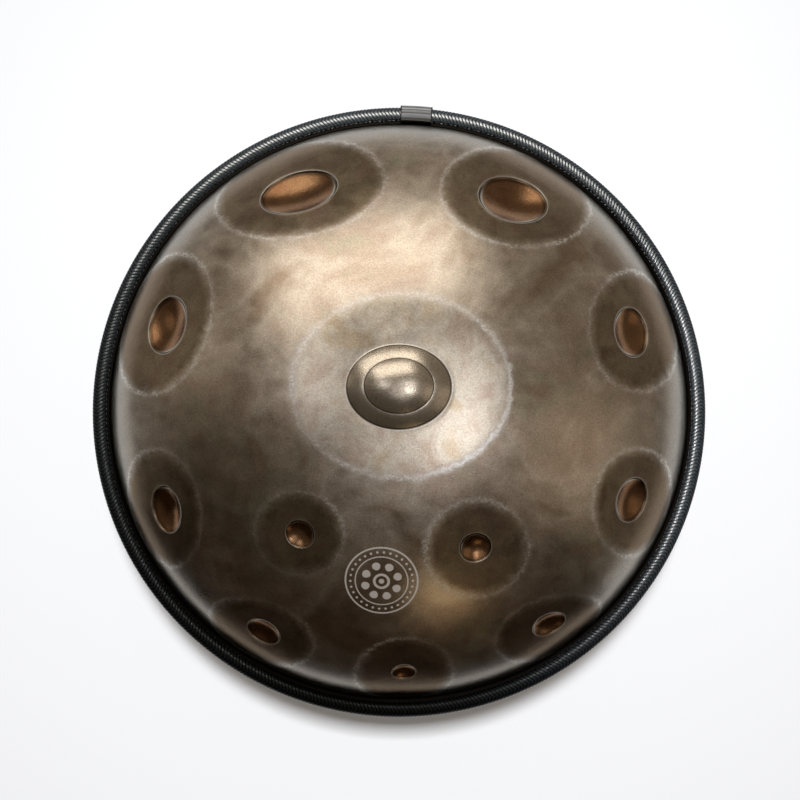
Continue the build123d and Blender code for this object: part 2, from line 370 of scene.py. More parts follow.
def dome_line(dome, inner_reaches, step):
    """The outer line from the last inner reach out to the flange's edge."""
    size = sizes()
    line = [(reach, dome.height(reach)) for reach in inner_reaches]
    start = inner_reaches[-1]
    start_tilt = dome.tilt(start)
    count = round(dome.crown * (dome.slope - start_tilt) / step)
    for index in range(1, count + 1):
        tilt = start_tilt + (dome.slope - start_tilt) * index / count
        line.append((dome.crown * math.sin(tilt), dome.crown_height + dome.crown * math.cos(tilt)))
    count = round(dome.shoulder * (size.wall_angle - dome.slope) / step)
    for index in range(1, count + 1):
        tilt = dome.slope + (size.wall_angle - dome.slope) * index / count
        across, up = dome.shoulder * math.sin(tilt), dome.shoulder * math.cos(tilt)
        line.append((dome.bend[0] + across, dome.bend[1] + up))
    tangent = size.foot_fillet * math.tan(size.wall_angle / 2)
    centre = (dome.foot + tangent, dome.flange_top + size.foot_fillet)
    for index in range(5):
        tilt = size.wall_angle * (1 - index / 4)
        across, up = size.foot_fillet * math.sin(tilt), size.foot_fillet * math.cos(tilt)
        line.append((centre[0] - across, centre[1] - up))
    for share in (0.45, 0.85, 1.0):
        line.append((centre[0] + (FLANGE_RADIUS - centre[0]) * share, dome.flange_top))
    return line


DING_BLEND = 74 * MM
DING_OUTSIDE = (0.5, 1.2, 2.4, 5, 9, 14, 20, 26)
DING_STEPS = (0, 0.035, 0.09, 0.17, 0.27, 0.39, 0.53, 0.67, 0.8, 0.9, 0.965)
CAP_STEPS = (0, 0.02, 0.06, 0.12, 0.2, 0.3, 0.42, 0.56, 0.7, 0.84, 0.95)


def ding_stations(dome):
    """Rings from the middle out: half axes and rise over the dome."""
    size = sizes()
    low, cap, _ = ding_ovals(dome)
    rings = []
    for share in reversed(CAP_STEPS):
        left = 1 - share
        lift = size.ding_lift + size.cap_lift * (1 - left**2.1)
        rings.append((cap.long * left, cap.short * left, lift))
    for share in reversed(DING_STEPS):
        lift = size.ding_lift * (1 - (1 - share) ** 1.35)
        long = low.long + (cap.long - low.long) * share
        short = low.short + (cap.short - low.short) * share
        rings.append((long, short, lift))
    for step in DING_OUTSIDE:
        share = eased(step * MM / (DING_BLEND - low.short))
        long = low.long + step * MM
        short = low.short + step * MM
        round_to = (long + short) / 2
        long += (round_to - long) * share
        short += (round_to - short) * share
        dent = -0.3 * MM * math.exp(-(((step - 1.0) / 0.7) ** 2))
        rings.append((long, short, dent))
    return rings


def walk_round(border):
    """The vertices of a closed border in their order round it."""
    start = border[0].verts[0]
    left = set(border)
    ring, vert = [], start
    while True:
        ring.append(vert)
        edge = next((item for item in vert.link_edges if item in left), None)
        if edge is None:
            raise RuntimeError("the border round a dimple isn't one loop")
        left.discard(edge)
        vert = edge.other_vert(vert)
        if vert is start:
            return ring


def even_turns(ring, oval, rounds=80):
    """The turn of each vertex round an ellipse, eased until they are evenly spaced."""
    turns = []
    for vert in ring:
        x, y = oval.local(vert.co)
        turn = math.atan2(y / oval.short, x / oval.long)
        if turns:
            turn = turns[-1] + (turn - turns[-1] + math.pi) % math.tau - math.pi
        turns.append(turn)
    count = len(ring)
    step = math.copysign(math.tau / count, turns[-1] - turns[0])
    offsets = [turn - step * index for index, turn in enumerate(turns)]
    for _ in range(rounds):
        offsets = [
            (offsets[index - 1] + offsets[index] * 2 + offsets[(index + 1) % count]) / 4
            for index in range(count)
        ]
    return [offset + step * index for index, offset in enumerate(offsets)]


def dimple_lift(note, inside, bowl_share):
    """Rise over the tone field: a low lip, a short steep wall and the bowl."""
    lip = 0.2 * note.scale
    wall = 1.3 * note.scale
    if inside <= 0:
        return lip * math.exp(-((inside / 1.1) ** 2))
    lift = lip * (1 - eased(inside)) - wall * eased(inside / (1.5 * note.scale))
    if inside > 1.0 * note.scale:
        lift -= (note.depth / MM - wall) * (1 - bowl_share**2)
    return lift


def hole_border(maker):
    """The open edges inside the flange."""
    inside = FLANGE_RADIUS - 2 * MM
    return [edge for edge in maker.edges if edge.is_boundary and edge.verts[0].co.xy.length < inside]


# Width of the rings laid outside a dimple, and how often the bowl's mesh round them is eased
DIMPLE_MARGIN = 13 * MM
EASING_ROUNDS = 14


def press_note(maker, dome, note, lift_layer):
    """Cuts the bowl open round a dimple and closes it again with rings that follow the dimple."""
    oval = note.dimple
    margin = DIMPLE_MARGIN
    doomed = []
    for face in maker.faces:
        middle = face.calc_center_median()
        if (middle - oval.middle).length < 70 * MM:
            x, y = oval.local(middle)
            if math.hypot(x / (oval.long + margin), y / (oval.short + margin)) < 1:
                doomed.append(face)
    bmesh.ops.delete(maker, geom=doomed, context="FACES")
    border = hole_border(maker)
    ring = walk_round(border)
    turns = even_turns(ring, oval)
    for vert, turn in zip(ring, turns):
        vert.co = dome.drop(oval.place(turn, margin), oval.outward)
    fixed = set(ring)
    near = [
        vert for vert in maker.verts
        if vert not in fixed and not vert.is_boundary and (vert.co - oval.middle).length < oval.long + 36 * MM
        and oval.gap(vert.co) < margin + 17 * MM
        and DING_BLEND < math.hypot(vert.co.x, vert.co.y) < dome.foot - 2.5 * MM
    ]
    for _ in range(EASING_ROUNDS):
        bmesh.ops.smooth_vert(
            maker, verts=near, factor=0.5, use_axis_x=True, use_axis_y=True, use_axis_z=True
        )
        for vert in near:
            vert.co = dome.settle(vert.co)
    insides = [-10, -7.4, -5.2, -3.6, -2.2, -1.2, -0.6, -0.2]
    insides += [value * note.scale for value in (0.15, 0.45, 0.8, 1.15, 1.5, 2.0, 2.7, 3.8, 5.2)]
    bowl_start = 1.0 * note.scale
    last = insides[-1]
    rings = [(inside, 1.0) for inside in insides]
    rings += [(last, shrink) for shrink in (0.86, 0.7, 0.55, 0.4, 0.26, 0.13)]
    edges = border
    verts = ring
    for inside, shrink in rings:
        bmesh.ops.extrude_edge_only(maker, edges=edges)
        edges = hole_border(maker)
        fresh = {vert for edge in edges for vert in edge.verts}
        verts = [
            next(edge.other_vert(vert) for edge in vert.link_edges if edge.other_vert(vert) in fresh)
            for vert in verts
        ]
        if len(verts) < 60:
            # A small dimple's first ring gets a vertex between each two
            bmesh.ops.subdivide_edges(maker, edges=edges, cuts=1)
            edges = hole_border(maker)
            verts = walk_round(edges)
            turns = even_turns(verts, oval)
        for vert, turn in zip(verts, turns):
            base = dome.drop(oval.place(turn, -inside * MM, shrink), oval.outward)
            vert.co = base
            x, y = oval.local(base)
            inner = math.hypot(x / (oval.long - bowl_start * MM), y / (oval.short - bowl_start * MM))
            vert[lift_layer] = dimple_lift(note, inside, min(inner, 1)) * MM
    tip = bmesh.ops.extrude_edge_only(maker, edges=edges)
    tip_verts = [item for item in tip["geom"] if isinstance(item, bmesh.types.BMVert)]
    centre = dome.drop(oval.middle.copy(), oval.outward)
    bmesh.ops.pointmerge(maker, verts=tip_verts, merge_co=centre)
    for vert in maker.verts:
        if (vert.co - centre).length < 1e-7:
            vert[lift_layer] = dimple_lift(note, last, 0) * MM


# Kept on the bowl's vertices for its material, in millimetres; negative inside
DISTANCES = ("field_gap", "dimple_gap", "dimple_side", "ding_gap", "ding_field_gap", "cap_gap")


def finish_dome(maker, dome, notes, lift_layer, low, cap, ding_field):
    """Flattens the tone fields, moves every part out or in by its lift and notes its distances."""
    layers = {name: maker.verts.layers.float.new(name) for name in DISTANCES}
    for vert in maker.verts:
        place = vert.co.copy()
        reach = math.hypot(place.x, place.y)
        fields = [(note.field.gap(place), note) for note in notes]
        field_gap, nearest = min(fields, key=lambda pair: pair[0])
        dimples = [(note.dimple.gap(place), note) for note in notes]
        dimple_gap, pressed = min(dimples, key=lambda pair: pair[0])
        ding_field_gap = ding_field.gap(place)
        distances = (
            field_gap / MM, dimple_gap / MM / (pressed.scale if dimple_gap < 0 else 1), pressed.side(place),
            low.gap(place) / MM, ding_field_gap / MM, cap.gap(place) / MM,
        )
        for name, distance in zip(DISTANCES, distances):
            vert[layers[name]] = max(min(distance, 60), -60)
        if reach > dome.foot - 1.5 * MM:
            continue
        _, outward = dome.gap(place)
        lift = vert[lift_layer]
        if field_gap < 0:
            share = nearest.field.share(place)
            lift -= (0.5 + 0.03 * nearest.field.short / MM) * MM * (1 - share**2) ** 1.3
        if ding_field_gap < 0:
            lift -= 2.2 * MM * (1 - ding_field.share(place) ** 2) ** 1.3
        fade = eased((dome.foot - reach) / (25 * MM))
        wave = noise.noise(place * (1 / (38 * MM)))
        border = math.exp(-((min(abs(field_gap), abs(ding_field_gap)) / (9 * MM)) ** 2))
        dents = noise.noise(place * (1 / (13 * MM)) + Vector((7, 0, 0)))
        lift += (0.10 * wave + 0.05 * border * dents) * MM * fade * eased(dimple_gap / (8 * MM))
        vert.co = place + outward * lift


def raise_shell(maker, side):
    """Puts a bowl made round the rim plane at its height, turned over for the lower one."""
    if side < 0:
        bmesh.ops.scale(maker, vec=(1, 1, -1), verts=maker.verts)
    bmesh.ops.translate(maker, vec=(0, 0, RIM_HEIGHT), verts=maker.verts)
    bmesh.ops.remove_doubles(maker, verts=maker.verts, dist=0.001 * MM)
    bmesh.ops.recalc_face_normals(maker, faces=maker.faces)
    outer = max(maker.faces, key=lambda face: face.calc_center_median().x)
    if outer.normal.z * side < 0:
        bmesh.ops.reverse_faces(maker, faces=maker.faces)


def thicken(piece, thickness):
    wall = piece.modifiers.new("sheet", "SOLIDIFY")
    wall.thickness = thickness
    wall.offset = -1
    wall.use_rim = True


def build_top_shell():
    dome = Dome()
    size = sizes()
    notes = [Note(dome, entry) for entry in size.notes]
    low, cap, ding_field = ding_ovals(dome)
    stations = ding_stations(dome)
    nominal = [(long + short) / 2 for long, short, _ in stations]
    maker = spun(dome_line(dome, nominal, 5.2 * MM), size.spin_steps)
    lift_layer = maker.verts.layers.float.new("lift")
    last = nominal[-1] + 1e-5
    for vert in maker.verts:
        reach = math.hypot(vert.co.x, vert.co.y)
        if reach < last:
            index = min(range(len(nominal)), key=lambda item: abs(nominal[item] - reach))
            long, short, lift = stations[index]
            x, y = vert.co.x / reach * long, vert.co.y / reach * short
            vert.co = Vector((x, y, dome.height(math.hypot(x, y))))
            vert[lift_layer] = lift
    inner = [edge for edge in maker.edges if edge.is_boundary and edge.verts[0].co.xy.length < 20 * MM]
    tip = bmesh.ops.extrude_edge_only(maker, edges=inner)
    tip_verts = [item for item in tip["geom"] if isinstance(item, bmesh.types.BMVert)]
    bmesh.ops.pointmerge(maker, verts=tip_verts, merge_co=(0, 0, dome.apex))
    for vert in maker.verts:
        if vert.co.xy.length < 1e-6:
            vert[lift_layer] = size.ding_lift + size.cap_lift
    for note in notes:
        press_note(maker, dome, note, lift_layer)
    finish_dome(maker, dome, notes, lift_layer, low, cap, ding_field)
    maker.verts.layers.float.remove(lift_layer)
    raise_shell(maker, 1)
    piece = finish_piece(maker, "top_bowl", ["top_shell"], nitrided_steel_upper())
    thicken(piece, size.sheet)


def build_bottom_shell():
    dome = Dome()
    size = sizes()
    flat = RIM_HEIGHT
    neck = size.port_radius
    lip = size.port_lip
    line = [(neck, flat - size.port_neck), (neck, flat - size.port_neck / 2 - lip / 2), (neck, flat - lip)]
    for index in range(1, 7):
        tilt = math.pi / 2 * index / 6
        line.append((neck + lip * (1 - math.cos(tilt)), flat - lip * (1 - math.sin(tilt))))
    line.append(((neck + lip + size.rest_radius) / 2, flat))
    rest = size.rest_radius
    line += dome_line(dome, [rest, rest + 1.2 * MM, rest + 4 * MM], 5.6 * MM)
    maker = spun(line, size.spin_steps)
    raise_shell(maker, -1)
    piece = finish_piece(
        maker, "bottom_bowl", ["bottom_shell"], nitrided_steel_lower()
    )
    thicken(piece, size.sheet)


def prime_factors(number):
    factors, factor = [], 2
    while number > 1:
        while number % factor == 0:
            factors.append(factor)
            number //= factor
        factor += 1
    return factors


def repeat_round(maker, turn, factors):
    """Copies everything round the axis, in steps of a turn, as often as the factors' product."""
    for factor in factors:
        whole = list(maker.verts) + list(maker.edges) + list(maker.faces)
        for index in range(1, factor):
            made = bmesh.ops.duplicate(maker, geom=whole)
            verts = [item for item in made["geom"] if isinstance(item, bmesh.types.BMVert)]
            bmesh.ops.rotate(maker, verts=verts, cent=(0, 0, 0), matrix=Matrix.Rotation(turn * index, 3, "Z"))
        turn *= factor


def joint_turn(gap):
    """The turn from +X to the start of the trim, whose open joint is under the clip."""
    return math.pi / 2 - CLIP_ANGLE + gap / 2


def turned_to_clip(maker, gap):
    turned = Matrix.Rotation(joint_turn(gap), 3, "Z")
    bmesh.ops.rotate(maker, verts=maker.verts, cent=(0, 0, 0), matrix=turned)


def close_ends(maker):
    open_edges = [edge for edge in maker.edges if edge.is_boundary]
    bmesh.ops.holes_fill(maker, edges=open_edges, sides=0)
    bmesh.ops.recalc_face_normals(maker, faces=maker.faces)


# The trim's plait in section: half the open gap on the flanges' side, how far the sleeve's two faces
# lie inside the trim's outline, the number of points, the angle from the outer side at which the
# strands turn back and how far they lean in radians of a strand, and the stitches' angle
TRIM_GAP = 2.6 * MM
TRIM_OUTER_INSET, TRIM_INNER_INSET = 0.12 * MM, 0.95 * MM
TRIM_OUTER_POINTS, TRIM_INNER_POINTS = 22, 4
STRAND_FOLD, STRAND_LEAN = 1.35, 7.5
STITCH_ROW = 2.35


def strand_count():
    return round(math.tau * TRIM_MIDDLE / sizes().strand_pitch)


def build_braid():
    size = sizes()
    outer, inner = TRIM_RADIUS - TRIM_OUTER_INSET, TRIM_RADIUS - TRIM_INNER_INSET
    arc = math.pi - math.asin(TRIM_GAP / TRIM_RADIUS)
    profile = []
    for index in range(TRIM_OUTER_POINTS):
        turn = arc * (2 * index / (TRIM_OUTER_POINTS - 1) - 1)
        profile.append((TRIM_MIDDLE + outer * math.cos(turn), outer * math.sin(turn)))
    for index in range(TRIM_INNER_POINTS):
        turn = arc * (1 - 2 * index / (TRIM_INNER_POINTS - 1))
        profile.append((TRIM_MIDDLE + inner * math.cos(turn), inner * math.sin(turn)))
    gap = TRIM_JOINT_GAP / TRIM_MIDDLE
    # The sleeve is made as a short sector, which is then copied round
    sector_steps, factors = 64, (7, 8)
    sector = (math.tau - gap) / math.prod(factors)
    maker = spun(profile, sector_steps, sector, closed_profile=True)
    repeat_round(maker, sector, factors)
    bmesh.ops.remove_doubles(maker, verts=maker.verts, dist=0.01 * MM)
    strands = strand_count()
    for vert in maker.verts:
        turn = math.atan2(vert.co.y, vert.co.x)
        across, up = vert.co.xy.length - TRIM_MIDDLE, vert.co.z
        spread = math.hypot(across, up)
        if spread < (outer + inner) / 2:
            continue
        around = math.atan2(up, across)
        lean = abs(abs(around) - STRAND_FOLD)
        ridge = abs(math.sin((strands * turn + STRAND_LEAN * lean) / 2)) ** 0.7
        row = abs(abs(around) - STITCH_ROW)
        hole = eased(math.cos(size.stitches * turn) * 1.6 - 0.55) * math.exp(-((row / 0.16) ** 2))
        spread += ((ridge - 0.62) * 0.40 - 0.5 * hole) * MM
        reach = TRIM_MIDDLE + spread * math.cos(around)
        vert.co = Vector((reach * math.cos(turn), reach * math.sin(turn), spread * math.sin(around)))
    close_ends(maker)
    turned_to_clip(maker, gap)
    bmesh.ops.translate(maker, vec=(0, 0, RIM_HEIGHT), verts=maker.verts)
    finish_piece(maker, "plaited_trim", ["rim_braid"], waxed_leather(gap))


def build_stitching():
    """Stitches along both edges of the trim, each a short, slanted, rounded run of thread."""
    size = sizes()
    thread = 0.45 * MM
    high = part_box("rim_stitching")[1]
    ring = high.x - thread
    height = high.z - RIM_HEIGHT - thread
    pitch = math.tau / size.stitches
    maker = bmesh.new()
    bmesh.ops.create_cube(maker, size=1.0)
    bmesh.ops.scale(maker, vec=(thread * 1.7, pitch * ring * 0.7, thread * 1.8), verts=maker.verts)
    bmesh.ops.bevel(
        maker, geom=list(maker.edges), offset=thread * 0.55, offset_type="OFFSET", affect="EDGES", segments=2,
        profile=0.5, material=-1,
    )
    bmesh.ops.rotate(maker, verts=maker.verts, cent=(0, 0, 0), matrix=Matrix.Rotation(0.12, 3, "Z"))
    bmesh.ops.translate(maker, vec=(ring, 0, height), verts=maker.verts)
    stitch = list(maker.verts) + list(maker.edges) + list(maker.faces)
    bmesh.ops.mirror(maker, geom=stitch, axis="Z", merge_dist=-1)
    bmesh.ops.recalc_face_normals(maker, faces=maker.faces)
    turned_to_clip(maker, pitch)
    repeat_round(maker, pitch, prime_factors(size.stitches))
    bmesh.ops.translate(maker, vec=(0, 0, RIM_HEIGHT), verts=maker.verts)
    finish_piece(maker, "trim_stitches", ["rim_stitching"], waxed_thread())


def rounded_line(corners, radius, segments):
    """A line through corners, each turned into a short arc."""
    line = []
    for index in range(1, len(corners) - 1):
        corner, before, after = (Vector(corners[place]) for place in (index, index - 1, index + 1))
        back, on = (before - corner), (after - corner)
        reach = min(radius, back.length * 0.48, on.length * 0.48)
        first, last = corner + back.normalized() * reach, corner + on.normalized() * reach
        for step in range(segments + 1):
            share = step / segments
            line.append((first * (1 - share) ** 2 + corner * 2 * share * (1 - share) + last * share**2)[:])
    return [corners[0]] + line + [corners[-1]]


CLIP_WALL = 1.3 * MM


def build_clip():
    low, high = CLIP_BOX
    half_turn = (high.x - low.x) / 2 / TRIM_MIDDLE * 0.985
    top = high.z - RIM_HEIGHT
    outside = high.y
    inside = TRIM_MIDDLE - TRIM_RADIUS - 0.6 * MM
    groove = 0.4 * MM
    # From the flange's side over the top to the outer side, with two pressed grooves
    corners = [
        (inside, 2.75 * MM), (inside, top - 2.2 * MM), (inside + 2.4 * MM, top),
        (TRIM_MIDDLE - 1.4 * MM, top), (TRIM_MIDDLE - 1.1 * MM, top - groove),
        (TRIM_MIDDLE - 0.6 * MM, top - groove),
        (TRIM_MIDDLE - 0.3 * MM, top), (TRIM_MIDDLE + 1.7 * MM, top), (TRIM_MIDDLE + 2.0 * MM, top - groove),
        (TRIM_MIDDLE + 2.5 * MM, top - groove), (TRIM_MIDDLE + 2.8 * MM, top - 0.1 * MM),
        (outside - 3.0 * MM, top - 0.6 * MM), (outside - 0.5 * MM, top - 3.4 * MM), (outside, 0),
    ]
    line = rounded_line(corners, 1.3 * MM, 4)
    profile = line + [(reach, -height) for reach, height in reversed(line[:-1])]
    maker = spun(profile, 14, half_turn * 2)
    bmesh.ops.recalc_face_normals(maker, faces=maker.faces)
    outer_face = max(maker.faces, key=lambda item: item.calc_center_median().xy.length)
    away = outer_face.calc_center_median()
    away.z = 0
    if outer_face.normal.dot(away) < 0:
        bmesh.ops.reverse_faces(maker, faces=maker.faces)
    bmesh.ops.rotate(
        maker, verts=maker.verts, cent=(0, 0, 0),
        matrix=Matrix.Rotation(math.pi / 2 - CLIP_ANGLE - half_turn, 3, "Z"),
    )
    bmesh.ops.translate(maker, vec=(0, 0, RIM_HEIGHT), verts=maker.verts)
    piece = finish_piece(maker, "trim_clip", ["rim_clip"], plated_clip(), math.radians(35))
    thicken(piece, CLIP_WALL)
    rounding = piece.modifiers.new("edges", "BEVEL")
    rounding.width = 0.35 * MM
    rounding.segments = 3
    rounding.limit_method = "ANGLE"
    rounding.angle_limit = math.radians(50)


# --- Materials --------------------------------------------------------------------------------


MATH, RANGE, MIX, NOISE = "ShaderNodeMath", "ShaderNodeMapRange", "ShaderNodeMix", "ShaderNodeTexNoise"


def add(tree, kind, inputs=(), out=0, stops=None, **settings):
    """Adds a node with its settings and links, and gives one of its outputs. Its inputs come in their
    order or by name: an output is linked, anything else is set."""
    made = tree.nodes.new(kind)
    for name, value in settings.items():
        setattr(made, name, value)
    if stops:
        ramp = made.color_ramp
        while len(ramp.elements) < len(stops):
            ramp.elements.new(1.0)
        for element, (place, colour) in zip(ramp.elements, stops):
            element.position = place
            element.color = (*colour, 1)
    for name, value in inputs.items() if isinstance(inputs, dict) else enumerate(inputs):
        socket = made.inputs[name]
        if isinstance(value, bpy.types.NodeSocket):
            tree.links.new(value, socket)
        else:
            socket.default_value = (*value, 1) if socket.type == "RGBA" else value
    return made.outputs[out] if made.outputs else None


def new_material(name):
    material = bpy.data.materials.new(name)
    material.use_nodes = True
    tree = material.node_tree
    tree.nodes.clear()
    surface = add(tree, "ShaderNodeBsdfPrincipled")
    add(tree, "ShaderNodeOutputMaterial", (surface,))
    place = add(tree, "ShaderNodeTexCoord", out="Object")
    return material, tree, surface.node, place


def band(tree, value, middle, inner, outer, most=1.0):
    """1 where a value in millimetres is near the middle, easing to 0 from inner to outer away."""
    off = add(tree, MATH, (value, middle), operation="SUBTRACT")
    away = add(tree, MATH, (off,), operation="ABSOLUTE")
    return add(tree, RANGE, (away, outer, inner, 0.0, most), interpolation_type="SMOOTHSTEP")


def ring_of_discs(tree, turn, spread, count, reach, inner, outer):
    """Discs evenly spaced on a circle of the mark; turn is a place's angle in whole turns."""
    share = add(tree, MATH, (add(tree, MATH, (turn, count), operation="MULTIPLY"),), operation="FRACT")
    step = math.tau * reach / count
    across = add(tree, MATH, (share, step, -math.pi * reach / count), operation="MULTIPLY_ADD")
    away = add(tree, MATH, (spread, reach), operation="SUBTRACT")
    both = add(tree, "ShaderNodeCombineXYZ", (across, away))
    distance = add(tree, "ShaderNodeVectorMath", (both,), out="Value", operation="LENGTH")
    return band(tree, distance, 0.0, inner, outer)


# The mark's middle: distance from the axis, and angle clockwise from the clip's side
MARK_REACH, MARK_ANGLE = 157 * MM, math.radians(-174.8)


def maker_mark(tree, place):
    """A generic etched mark between the two inner notes: two rings with dots between them round a
    small plan of a pan."""
    dome = Dome()
    reach, turn = MARK_REACH, MARK_ANGLE
    tilt = dome.tilt(reach)
    outward = Vector((math.sin(tilt) * math.sin(turn), math.sin(tilt) * math.cos(turn), math.cos(tilt)))
    right = Vector((-math.cos(turn), math.sin(turn), 0))
    axes = Matrix((right, outward.cross(right), outward)).transposed().to_euler()
    middle = (reach * math.sin(turn), reach * math.cos(turn), RIM_HEIGHT + dome.height(reach))
    flat = add(tree, "ShaderNodeMapping", {"Vector": place, "Location": middle, "Rotation": axes,
                                           "Scale": (MM, MM, MM)}, vector_type="TEXTURE")
    x, y, z = add(tree, "ShaderNodeSeparateXYZ", (flat,)).node.outputs
    level = add(tree, "ShaderNodeCombineXYZ", (x, y))
    spread = add(tree, "ShaderNodeVectorMath", (level,), out="Value", operation="LENGTH")
    angle = add(tree, MATH, (y, x), operation="ARCTAN2")
    turns = add(tree, MATH, (angle, 1 / math.tau), operation="MULTIPLY")
    parts = (
        band(tree, spread, 29.6, 0.5, 0.95), band(tree, spread, 21.6, 0.3, 0.75),
        ring_of_discs(tree, turns, spread, 30, 25.6, 0.8, 1.3),
        ring_of_discs(tree, turns, spread, 8, 13.8, 3.1, 3.8),
        band(tree, spread, 5.9, 0.8, 1.4), band(tree, spread, 0.0, 1.9, 2.6),
    )
    mark = parts[0]
    for part in parts[1:]:
        mark = add(tree, MATH, (mark, part), operation="MAXIMUM")
    near = add(tree, MATH, (add(tree, MATH, (z,), operation="ABSOLUTE"), 30.0), operation="LESS_THAN")
    return add(tree, MATH, (mark, near), operation="MULTIPLY")


def nitrided_steel_upper():
    """Deep-drawn steel, gas nitrided and oiled: a satin metal whose oxide film gives it bronze, straw
    and brown clouds. Hammering and scouring round each tone field leave a pale, grainy border, the
    tone fields keep a thicker, darker film, and the dimples a copper-coloured one."""
    material, tree, shader, place = new_material("nitrided_steel")
    tint = colours()
    field, dimple, side, ding, ding_field, cap = (
        add(tree, "ShaderNodeAttribute", out="Fac", attribute_type="GEOMETRY", attribute_name=name)
        for name in DISTANCES
    )
    height = add(tree, "ShaderNodeSeparateXYZ", (place,), out=2)
    clouds = add(tree, NOISE, {"Vector": place, "Scale": 1 / (85 * MM), "Detail": 3.0, "Roughness": 0.55,
                               "Distortion": 0.5})
    patches = add(tree, NOISE, {"Vector": place, "Scale": 1 / (34 * MM), "Detail": 4.0, "Roughness": 0.6,
                                "Distortion": 0.6})
    small = add(tree, NOISE, {"Vector": place, "Scale": 1 / (20 * MM), "Detail": 5.0, "Roughness": 0.62})
    grain = add(tree, NOISE, {"Vector": place, "Scale": 1 / (1.3 * MM), "Detail": 2.0, "Roughness": 0.6})
    grit = add(tree, NOISE, {"Vector": place, "Scale": 1 / (2.0 * MM), "Detail": 3.0, "Roughness": 0.7})
    film = add(tree, "ShaderNodeValToRGB", (clouds,), stops=[
        (0.34, tint.steel_brown), (0.45, tint.steel_light), (0.53, tint.steel_rose), (0.62, tint.steel_olive),
        (0.7, tint.steel_brown)])
    # The wall near the rim has the thinnest film and is nearly grey
    on_wall = add(tree, RANGE, (height, RIM_HEIGHT + 62 * MM, RIM_HEIGHT + 30 * MM, 0.0, 0.9),
                  interpolation_type="SMOOTHSTEP")
    shell = add(tree, MIX, {0: on_wall, 6: film, 7: tint.steel_wall}, out=2, data_type="RGBA")
    # The ding's field is brighter, with straw-coloured clouds
    rough_edge = add(tree, NOISE, {"Vector": place, "Scale": 1 / (7 * MM), "Detail": 4.0, "Roughness": 0.75})
    wobble = add(tree, RANGE, (rough_edge, 0.25, 0.75, -2.6, 2.6))
    ding_ragged = add(tree, MATH, (ding_field, wobble), operation="ADD")
    in_ding_field = add(tree, RANGE, (ding_ragged, 1.0, -5.0, 0.0, 0.9), interpolation_type="SMOOTHSTEP")
    ding_film = add(tree, "ShaderNodeValToRGB", (patches,), stops=[
        (0.36, tint.ding_field_straw), (0.5, tint.ding_field), (0.64, tint.steel_rose)])
    shell = add(tree, MIX, {0: in_ding_field, 6: shell, 7: ding_film}, out=2, data_type="RGBA")
    # Tone fields, whose dark film fades towards a ragged edge
    ragged = add(tree, MATH, (field, wobble), operation="ADD")
    in_field = add(tree, RANGE, (ragged, 2.0, -8.5, 0.0, 1.0), interpolation_type="SMOOTHSTEP")
    field_film = add(tree, "ShaderNodeValToRGB", (patches,), stops=[
        (0.34, tint.field_dark), (0.48, tint.field_olive), (0.62, tint.field_brown)])
    field_film = add(tree, MIX, {0: on_wall, 6: field_film, 7: tint.field_dark}, out=2, data_type="RGBA")
    coloured = add(tree, MIX, {0: in_field, 6: shell, 7: field_film}, out=2, data_type="RGBA")
    # Dimples: on the side of the ding the copper-coloured film starts further in, after a wall of
    # painted shade and pale crescents of painted light
    inner_side = add(tree, RANGE, (side, 0.45, -0.55, 0.0, 1.0), interpolation_type="SMOOTHSTEP")
    copper_gap = add(tree, MATH, (inner_side, 4.4, dimple), operation="MULTIPLY_ADD")
    in_copper = add(tree, RANGE, (copper_gap, -0.6, -2.0, 0.0, 1.0), interpolation_type="SMOOTHSTEP")
    spotted = add(tree, RANGE, (small, 0.36, 0.64, 0.0, 0.75))
    dimple_film = add(tree, MIX, {0: spotted, 6: tint.dimple, 7: tint.dimple_dark}, out=2, data_type="RGBA")
    coloured = add(tree, MIX, {0: in_copper, 6: coloured, 7: dimple_film}, out=2, data_type="RGBA")
    on_ding = add(tree, RANGE, (ding, 0.4, -0.4, 0.0, 0.85))
    coloured = add(tree, MIX, {0: on_ding, 6: coloured, 7: tint.ding}, out=2, data_type="RGBA")
    cloud_tone = add(tree, RANGE, (small, 0.3, 0.7, 0.86, 1.12))
    grain_tone = add(tree, RANGE, (grain, 0.3, 0.7, 0.8, 1.2))
    tone = add(tree, MATH, (cloud_tone, grain_tone), operation="MULTIPLY")
    coloured = add(tree, MIX, {0: 1.0, 6: coloured, 7: tone}, out=2, data_type="RGBA", blend_type="MULTIPLY")
    # Pale worn borders: a soft haze with bright grit on the line, uneven round each field
    uneven = add(tree, RANGE, (clouds, 0.36, 0.6, 1.0, 0.3))
    haze = add(tree, MATH, (band(tree, ragged, 1.8, 0.0, 5.0, 0.2), band(tree, ding_ragged, 0.5, 0.0, 6.5, 0.34)),
               operation="MAXIMUM")
    line = add(tree, MATH, (band(tree, ragged, 1.5, 0.5, 3.0), band(tree, ding_ragged, 0.5, 0.8, 3.6)),
               operation="MAXIMUM")
    specks = add(tree, RANGE, (grit, 0.42, 0.56, 0.0, 0.95))
    worn = add(tree, MATH, (line, specks), operation="MULTIPLY")
    worn = add(tree, MATH, (worn, haze), operation="MAXIMUM")
    worn = add(tree, MATH, (worn, uneven), operation="MULTIPLY")
    # Painted highlight: the ding field's border is made pale on its right side, the side the lights catch
    across = add(tree, "ShaderNodeVectorMath", (place, (0.8, -0.6, 0.0)), out="Value", operation="DOT_PRODUCT")
    right_side = add(tree, RANGE, (across, 20 * MM, 75 * MM, 0.0, 1.0), interpolation_type="SMOOTHSTEP")
    right_highlight = add(tree, MATH, (band(tree, ding_ragged, 0.0, 0.5, 3.6, 0.95), right_side), operation="MULTIPLY")
    bright_grit = add(tree, RANGE, (grit, 0.36, 0.52, 0.45, 1.0))
    right_highlight = add(tree, MATH, (right_highlight, bright_grit), operation="MULTIPLY")
